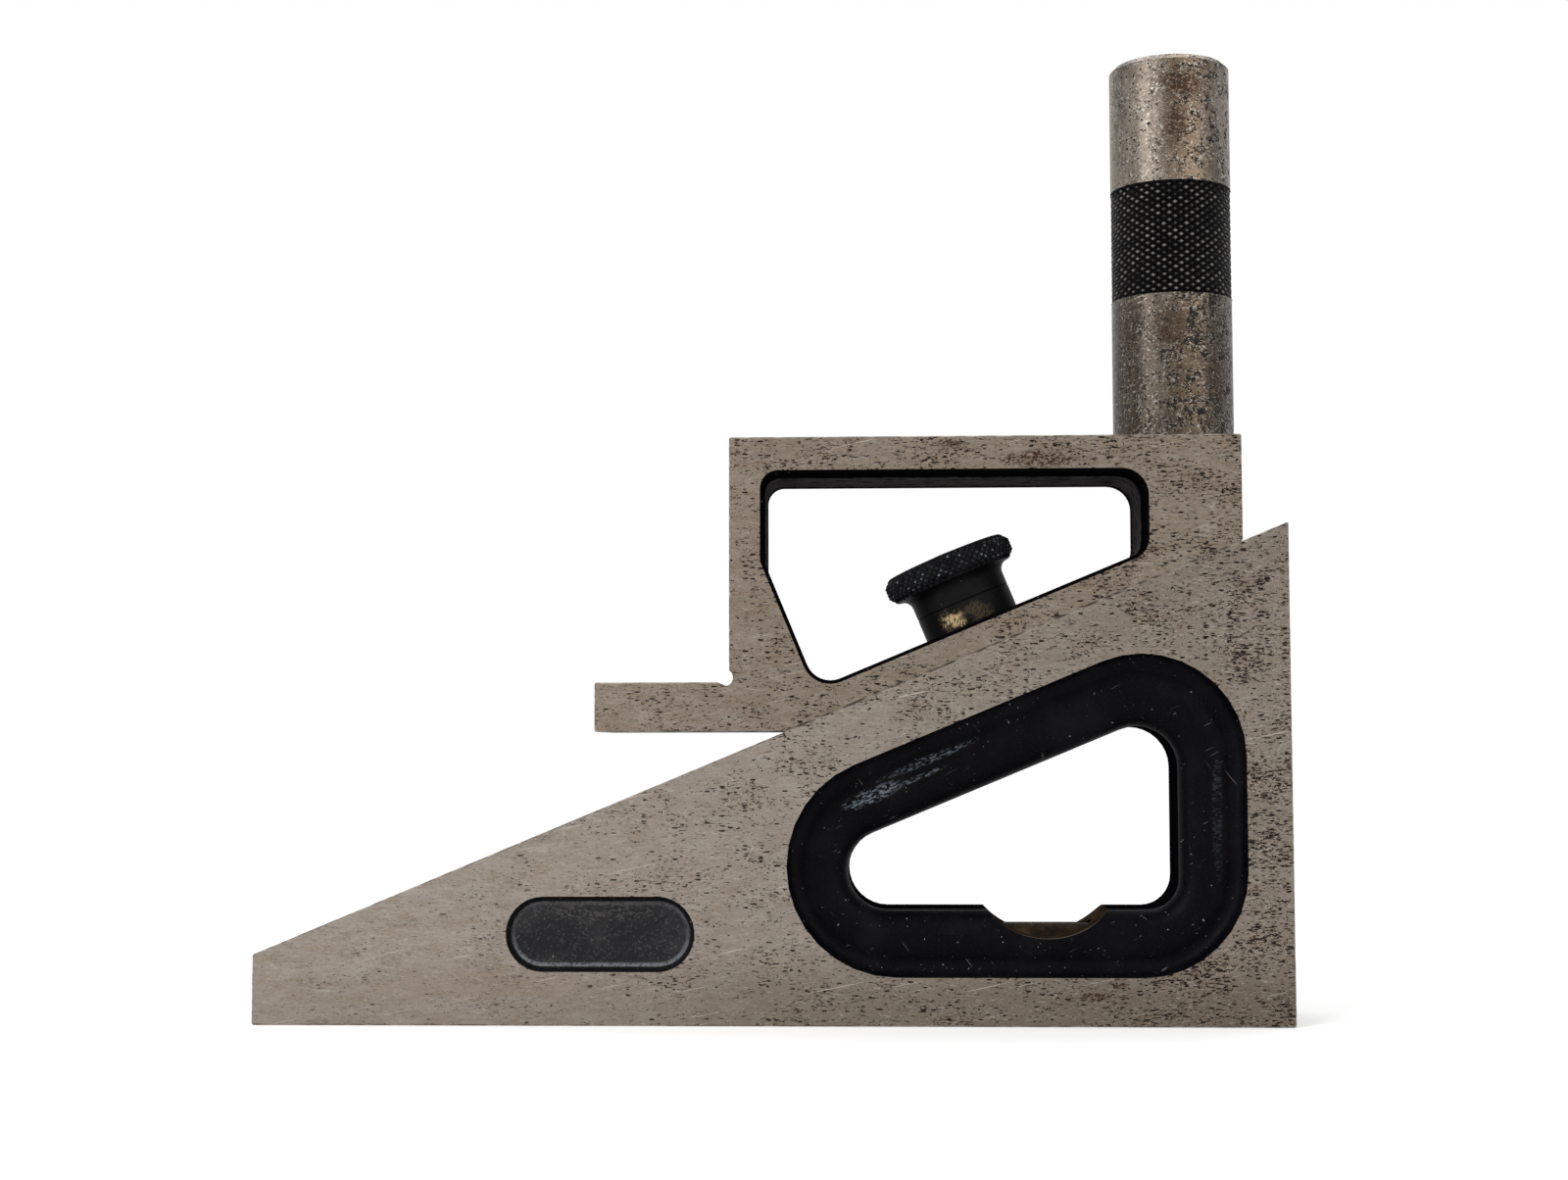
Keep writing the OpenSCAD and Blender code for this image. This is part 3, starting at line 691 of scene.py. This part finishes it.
def baseFinish(centre, normal):
    face = wedge["thick"] - slack["face"]
    roof = inclineHeight(centre.x) - wedge["openingDepth"] / math.cos(incline) + slack["roof"]
    inOpening = (wedge["openingLeft"] < centre.x < wedge["openingRight"]
                 and wedge["openingFoot"] < centre.z < roof)
    inPlate = (abs(centre.x - wedge["plate"][0]) < wedge["plateReach"][0]
               and abs(centre.z - wedge["plate"][1]) < wedge["plateReach"][1])
    out = math.hypot(centre.x - wedge["scallop"][0], centre.z - wedge["scallop"][1])
    onScallop = abs(out - wedge["scallopRadius"]) < slack["scallop"] and abs(normal.y) < slack["square"]
    if onScallop and centre.z < wedge["scallopTop"]:
        return "scallop"
    if inOpening and abs(centre.y) < wedge["holeWall"]:
        return "hole"
    if inOpening and abs(centre.y) < face:
        return "enamel"
    if inPlate and -face < centre.y < wedge["plateDepth"] - wedge["thick"]:
        return "plate"
    return "edge" if isBevel(normal) else "steel"


def makeBase(s):
    paints = {
        "steel": groundSteel("base steel", baseLook, s["rows"], s["stains"], True),
        "enamel": blackEnamel("base enamel", enamelLook, 0.05, 0.75, 0.035, s["gripHighlights"]),
        "plate": blackEnamel("plate enamel", plateLook, 0.12, 0.6, 0.1, s["plateHighlights"],
                             (*s["plate"], *s["plateOval"])),
        "hole": blackEnamel("hole enamel in painted shade", holeShadeLook, 0.04, 0.3, 0.0),
        "scallop": scallopSteel("scallop steel", scallopLook),
        "edge": edgeSteel("base edges", edgeLook),
    }
    bm = mergedCopy("base")
    for face in bm.faces:
        face.material_index = baseFaces.index(baseFinish(face.calc_center_median() * 1000, face.normal))
    finishPiece(bm, "base_casting", "base", [paints[name] for name in baseFaces], ["base"])


makeBase(wedge)
print("base made")


# Slide: ground outside, painted inside its window

block = {                                      # in millimetres
    "windowLeft": -1.3, "windowRight": 49.1, "windowTop": 71.4, "floor": 3.15, "face": 10.315,
    "rows": [
        (-24, 0.5, 0, 0), (-12, 0.55, 0.1, 0), (0, 0.65, 0.3, 0), (30, 0.75, 0.35, 0),
        (62, 0.85, 0.35, 0),
    ],
    "stains": [
        ((34.5, -10.3, 72.5), (6, 2, 1.3), "rust", 0.95), ((24, -10.3, 74.6), (2.4, 2, 0.7), "rust", 0.9),
        ((56.3, -10.3, 63.5), (1.5, 2, 0.6), "light", 0.5),
        ((57, -10.3, 66.3), (0.6, 2, 0.9), "light", 0.5), ((21, -10.3, 41.3), (0.8, 1.5, 0.7), "pit", 1),
    ],
}
slideFaces = ["steel", "window", "edge"]


def slideFinish(centre, normal):
    floor = inclineHeight(centre.x) + block["floor"] / math.cos(incline) - slack["roof"]
    if (abs(centre.y) < block["face"] and block["windowLeft"] < centre.x < block["windowRight"]
            and floor < centre.z < block["windowTop"]):
        return "window"
    return "edge" if isBevel(normal) else "steel"


def makeSlide(s):
    paints = {
        "steel": groundSteel("slide steel", slideLook, s["rows"], s["stains"], False),
        "window": windowPaint("window paint", windowLook),
        "edge": edgeSteel("slide edges", edgeLook),
    }
    bm = mergedCopy("slide")
    for face in bm.faces:
        face.material_index = slideFaces.index(slideFinish(face.calc_center_median() * 1000, face.normal))
    finishPiece(bm, "slide_block", "slide", [paints[name] for name in slideFaces], ["slide"])


makeSlide(block)
print("slide made")


# Lock: collar, thumb nut and bolt, square on the incline

lock = {                                       # in millimetres
    "foot": (28.0188, 0, 48.1943), "boreRadius": 2.445, "steps": 96,
    "collar": {"radius": 6.4, "boreRadius": 2.595, "low": 3.241, "high": 6.941, "bevel": 0.1,
               "worn": [                       # centre, size, strength
                   ((24, -5.4, 51.9), (2.3, 2.4, 1.7), 1), ((27, -6, 53.2), (2.6, 2.4, 1.7), 0.12)]},
    "nut": {"low": 6.941, "height": 6.5, "rimRadius": 8.95, "rim": 3.4, "shoulder": 1, "lip": 0.03,
            "top": 1.3, "neck": 1.4, "crease": 24,
            "corner": [(0.72, 0.22), (0.3, 0.62), (0, 0.98)],     # the rim's bevel: inwards, upwards
            "knurl": {"columns": 112, "depth": 0.32, "flat": 24, "wear": (0, 1)}},
}


def onIncline(place):
    return Matrix.Translation(mm(*place)) @ Matrix.Rotation(-incline, 4, "Y")


def makeLock(s):
    placing = onIncline(s["foot"])
    ring, nut = s["collar"], s["nut"]
    inside, body, cut = ring["boreRadius"], ring["radius"], ring["bevel"]
    low, high = ring["low"], ring["high"]
    points = [(inside, low), (body - cut, low), (body, low + cut), (body, high - cut), (body - cut, high),
              (inside, high)]
    finishPiece(turned(points, s["steps"], True), "lock_ring", "slide",
                [bluedSteel("collar steel", bluedLook, ring["worn"])], ["lock_collar"],
                placing)

    bore, rim, foot = s["boreRadius"], nut["rimRadius"], nut["low"]
    top = foot + nut["height"]
    under = top - nut["rim"]
    # the knurled side, from its lower bevel over a short flat to its upper bevel
    corner = nut["corner"]
    bevel = corner[-1][1]
    outline = [(rim - inwards, under + upwards) for inwards, upwards in corner]
    outline += [(rim, under + bevel + (nut["rim"] - 2 * bevel) * step / 3) for step in (1, 2, 3)]
    outline += [(rim - inwards, top - upwards) for inwards, upwards in corner[-2::-1]]
    shoulder = rim - nut["shoulder"]
    points = [(bore, foot), (body - cut, foot), (body, foot + cut)]
    points += arcPoints((body + nut["neck"], under - nut["neck"]), nut["neck"], 180, 90, 8)
    points += [(shoulder, under + nut["lip"])] + outline + [(shoulder, top - nut["lip"])]
    points += [(rim - nut["top"], top), (bore, top)]
    bm = turned(points, nut["knurl"]["columns"], True)
    cutKnurl(bm, nut["knurl"], outline)
    finishPiece(bm, "thumb_nut", "lock_nut", [bluedSteel("nut steel", bluedLook)],
                ["lock_nut"], placing, nut["crease"])

    finishPiece(mergedCopy("lock_bolt"), "bolt", "lock_bolt", [bluedSteel("bolt steel", bluedLook)],
                ["lock_bolt"])


makeLock(lock)
print("lock made")


# Extension post: turned, knurled in the middle, on a threaded stud

post = {                                       # in millimetres
    "foot": (53.494, 0, 75.581), "radius": 7.9375, "height": 50.8, "bevel": 0.7, "footBevel": 0.3,
    "boreRadius": 2.445, "boreDepth": 9.6, "crease": 24,
    "bandLow": 19.05, "bandHigh": 33.85, "bandRadius": 8.02, "bandStep": 0.05,
    "knurl": {"rows": 31, "columns": 66, "depth": 0.4, "flat": 30, "wear": (0.6, 1)},
    "thread": {"root": 1.95, "crest": 2.415, "pitch": 0.79375, "length": 16.94, "steps": 28},
    "threadFoot": -7.94,
    "stains": [                                # rusty patches: centre, size, strength
        ((54.2, -7.8, 122.4), (3.6, 4, 3.2), 0.95), ((53.4, -7.8, 116.8), (2.4, 4, 3.8), 0.85),
        ((49.5, -6.5, 104.5), (2.2, 4, 3), 0.6), ((52, -7.8, 90), (2.4, 4, 3.4), 0.6),
        ((58.5, -6, 84), (2.6, 4, 6), 0.5),
    ],
}
postLook = {
    "body": srgb(110, 101, 91), "shade": srgb(78, 69, 60), "light": srgb(146, 139, 130),
    "tan": srgb(112, 92, 70), "pit": srgb(16, 10, 7), "grimeAndShade": srgb(36, 28, 18), "rust": srgb(48, 31, 20),
    "scratch": srgb(190, 184, 174), "foot": srgb(16, 13, 11), "metallic": 0.65,
}
knurlLook = {"black": srgb(4, 4, 5), "grey": srgb(12, 11, 12), "tip": srgb(124, 119, 114)}
studLook = {"bright": srgb(168, 160, 150), "dull": srgb(110, 100, 90)}


def postSteel(s, look):
    paint = Paint("post steel")
    place = paint.place()
    level = place - s["foot"]
    x, y, z = (part(paint, level, axis) for axis in "XYZ")
    around = paint.node("ShaderNodeMath", {"operation": "ARCTAN2"}, [x, 0 - y])
    ring = paint.node("ShaderNodeCombineXYZ", {}, [
        paint.node("ShaderNodeMath", {"operation": "SINE"}, [around]),
        paint.node("ShaderNodeMath", {"operation": "COSINE"}, [around]), 0])
    # painted reflections: paler and darker vertical streaks round the post
    paintedReflectionBands = grain(paint, ring, 2.3, 3, 0.6)
    clouds = grain(paint, place, (0.35, 0.35, 0.12), 5, 0.65)
    wear = grain(paint, place, (0.9, 0.9, 5.5), 4, 0.7)
    grit = grain(paint, place, (3, 3, 4), 4, 0.7)
    curl = ripple(paint, place, 2.4)
    ragged = grain(paint, place, 0.7, 5, 0.7)

    cloudy = between(paint, clouds + (paintedReflectionBands - 0.5) * 0.5, 0.38, 0.62)
    colour = tint(paint, cloudy, look["shade"], look["body"])
    colour = tint(paint, between(paint, wear, 0.5, 0.68) * 0.45, colour, look["light"])
    colour = tint(paint, between(paint, grit, 0.5, 0.7) * 0.35, colour, look["light"])
    brown = between(paint, around, -0.35, 0.05) * between(paint, around, 0.75, 0.3)
    colour = tint(paint, brown * 0.55, colour, look["tan"])
    lower = between(paint, z, 26, 15)
    colour = tint(paint, lower * (0.38 + clouds * 0.3), colour, look["grimeAndShade"])
    # painted shade: the left side of the post's lower part is darkened, standing in for a dark reflection
    left = between(paint, around, -0.3, -0.8) * lower
    colour = tint(paint, left * 0.4, colour, look["grimeAndShade"])

    thick = between(paint, around, -0.35, 0.2) * between(paint, around, 1.5, 1.0)
    crowd = between(paint, ragged, 0.38, 0.62)
    share = (0.6 + thick * 0.4 + lower * 0.15) * (0.3 + crowd)
    pits = pitted(paint, place, (2.2, 2.2, 2.4), share * 0.6, 0.42, curl)
    worms = flecks(paint, place, (1.9, 1.9, 2.6), share, 1.2)
    pale = flecks(paint, place + (4, 8, 3), (2.4, 2.4, 3), share * 0.6 + 0.3, 1.2)
    colour = tint(paint, pale * (0.55 - lower * 0.18), colour, look["scratch"])
    pits = larger(paint, pits, worms)
    colour = tint(paint, pits, colour, look["pit"])
    for centre, size, strength in s["stains"]:
        spot = stain(paint, place, ragged, centre, size, 0.3) * between(paint, grit, 0.42, 0.5)
        colour = tint(paint, spot * strength, colour, look["rust"])
    foot = between(paint, z + (ragged - 0.5) * 0.6, 0.45, 0.15)
    colour = tint(paint, foot * 0.9, colour, look["foot"])
    return paint.finish({
        "Base Color": colour, "Metallic": look["metallic"] * (1 - pits),
        "Roughness": 0.32 + pits * 0.3 + clouds * 0.1, "Specular IOR Level": 0.2,
        "Normal": relief(paint, grit * 0.25 - pits * 0.8, 0.02)})


def knurlSteel(name, look):
    paint = Paint(name)
    place = paint.place()
    fine = grain(paint, place, 1.8, 4, 0.65)
    wear = wornTips(paint)
    colour = tint(paint, between(paint, fine, 0.3, 0.7), look["black"], look["grey"])
    tips = between(paint, wear * (0.75 + fine * 0.5), 0.35, 0.85)
    colour = tint(paint, tips * 0.95, colour, look["tip"])
    return paint.finish({
        "Base Color": colour, "Metallic": 0.25, "Roughness": 0.45, "Specular IOR Level": 0.1})


def makePost(s):
    knurl, r, step = s["knurl"], s["radius"], s["bandStep"]
    low, high = s["bandLow"], s["bandHigh"]
    rows = [(s["bandRadius"], low + (high - low) * row / knurl["rows"]) for row in range(knurl["rows"] + 1)]
    points = [(0, s["boreDepth"]), (s["boreRadius"], s["boreDepth"]), (s["boreRadius"], 0)]
    points += [(r - s["footBevel"], 0), (r, s["footBevel"]), (r, low - step)] + rows
    points += [(r, high + step), (r, s["height"] - s["bevel"]), (r - s["bevel"], s["height"])]
    points += [(0, s["height"])]
    bm = turned(points, knurl["columns"])
    cutKnurl(bm, knurl, rows)
    for face in bm.faces:
        height = face.calc_center_median().z * 1000
        face.material_index = 1 if low - step < height < high + step else 0
    placing = Matrix.Translation(mm(*s["foot"]))
    paints = [postSteel(s, postLook), knurlSteel("post knurl", knurlLook)]
    finishPiece(bm, "post", "extension_post", paints, ["extension_post"], placing,
                s["crease"])

    stud = threadRod(s["thread"])
    bmesh.ops.translate(stud, vec=mm(0, 0, s["threadFoot"]), verts=stud.verts)
    bright = plainMetal("stud steel", studLook["bright"], studLook["dull"], 0.8, 0.35)
    finishPiece(stud, "post_thread", "post_stud", [bright], ["post_stud"], placing)


makePost(post)
print("post made")


# Level: tube, glass, spirit, seals and plug

def dressNode(name, material):
    data = nodes[name].data
    data.materials.clear()
    data.materials.append(material)


level = {
    "brass": srgb(58, 45, 30), "darkBrass": srgb(24, 18, 13),
    "glass": (0.05, 0.047, 0.03, 1), "glassIndex": 1.12, "spirit": srgb(150, 142, 60), "spiritIndex": 1.36,
    "plaster": srgb(216, 208, 190), "dullPlaster": srgb(176, 166, 146),
    "plug": srgb(150, 140, 130), "darkPlug": srgb(96, 84, 74),
}


def makeLevel(s):
    dressNode("vial_tube", plainMetal("tube brass", s["brass"], s["darkBrass"], 0.3, 0.6, 0.05))
    dressNode("vial_glass", clearGlass("vial glass", s["glass"], 0.5, s["glassIndex"]))
    dressNode("vial_spirit", clearGlass("vial spirit", s["spirit"], 0.0, s["spiritIndex"]))
    setPlaster = plaster("seal plaster", s["dullPlaster"], s["plaster"])
    for seal in ("vial_seal_left", "vial_seal_right"):
        dressNode(seal, setPlaster)
    dressNode("level_plug", plainMetal("plug steel", s["plug"], s["darkPlug"], 0.7, 0.4))


makeLevel(level)
print("level made")
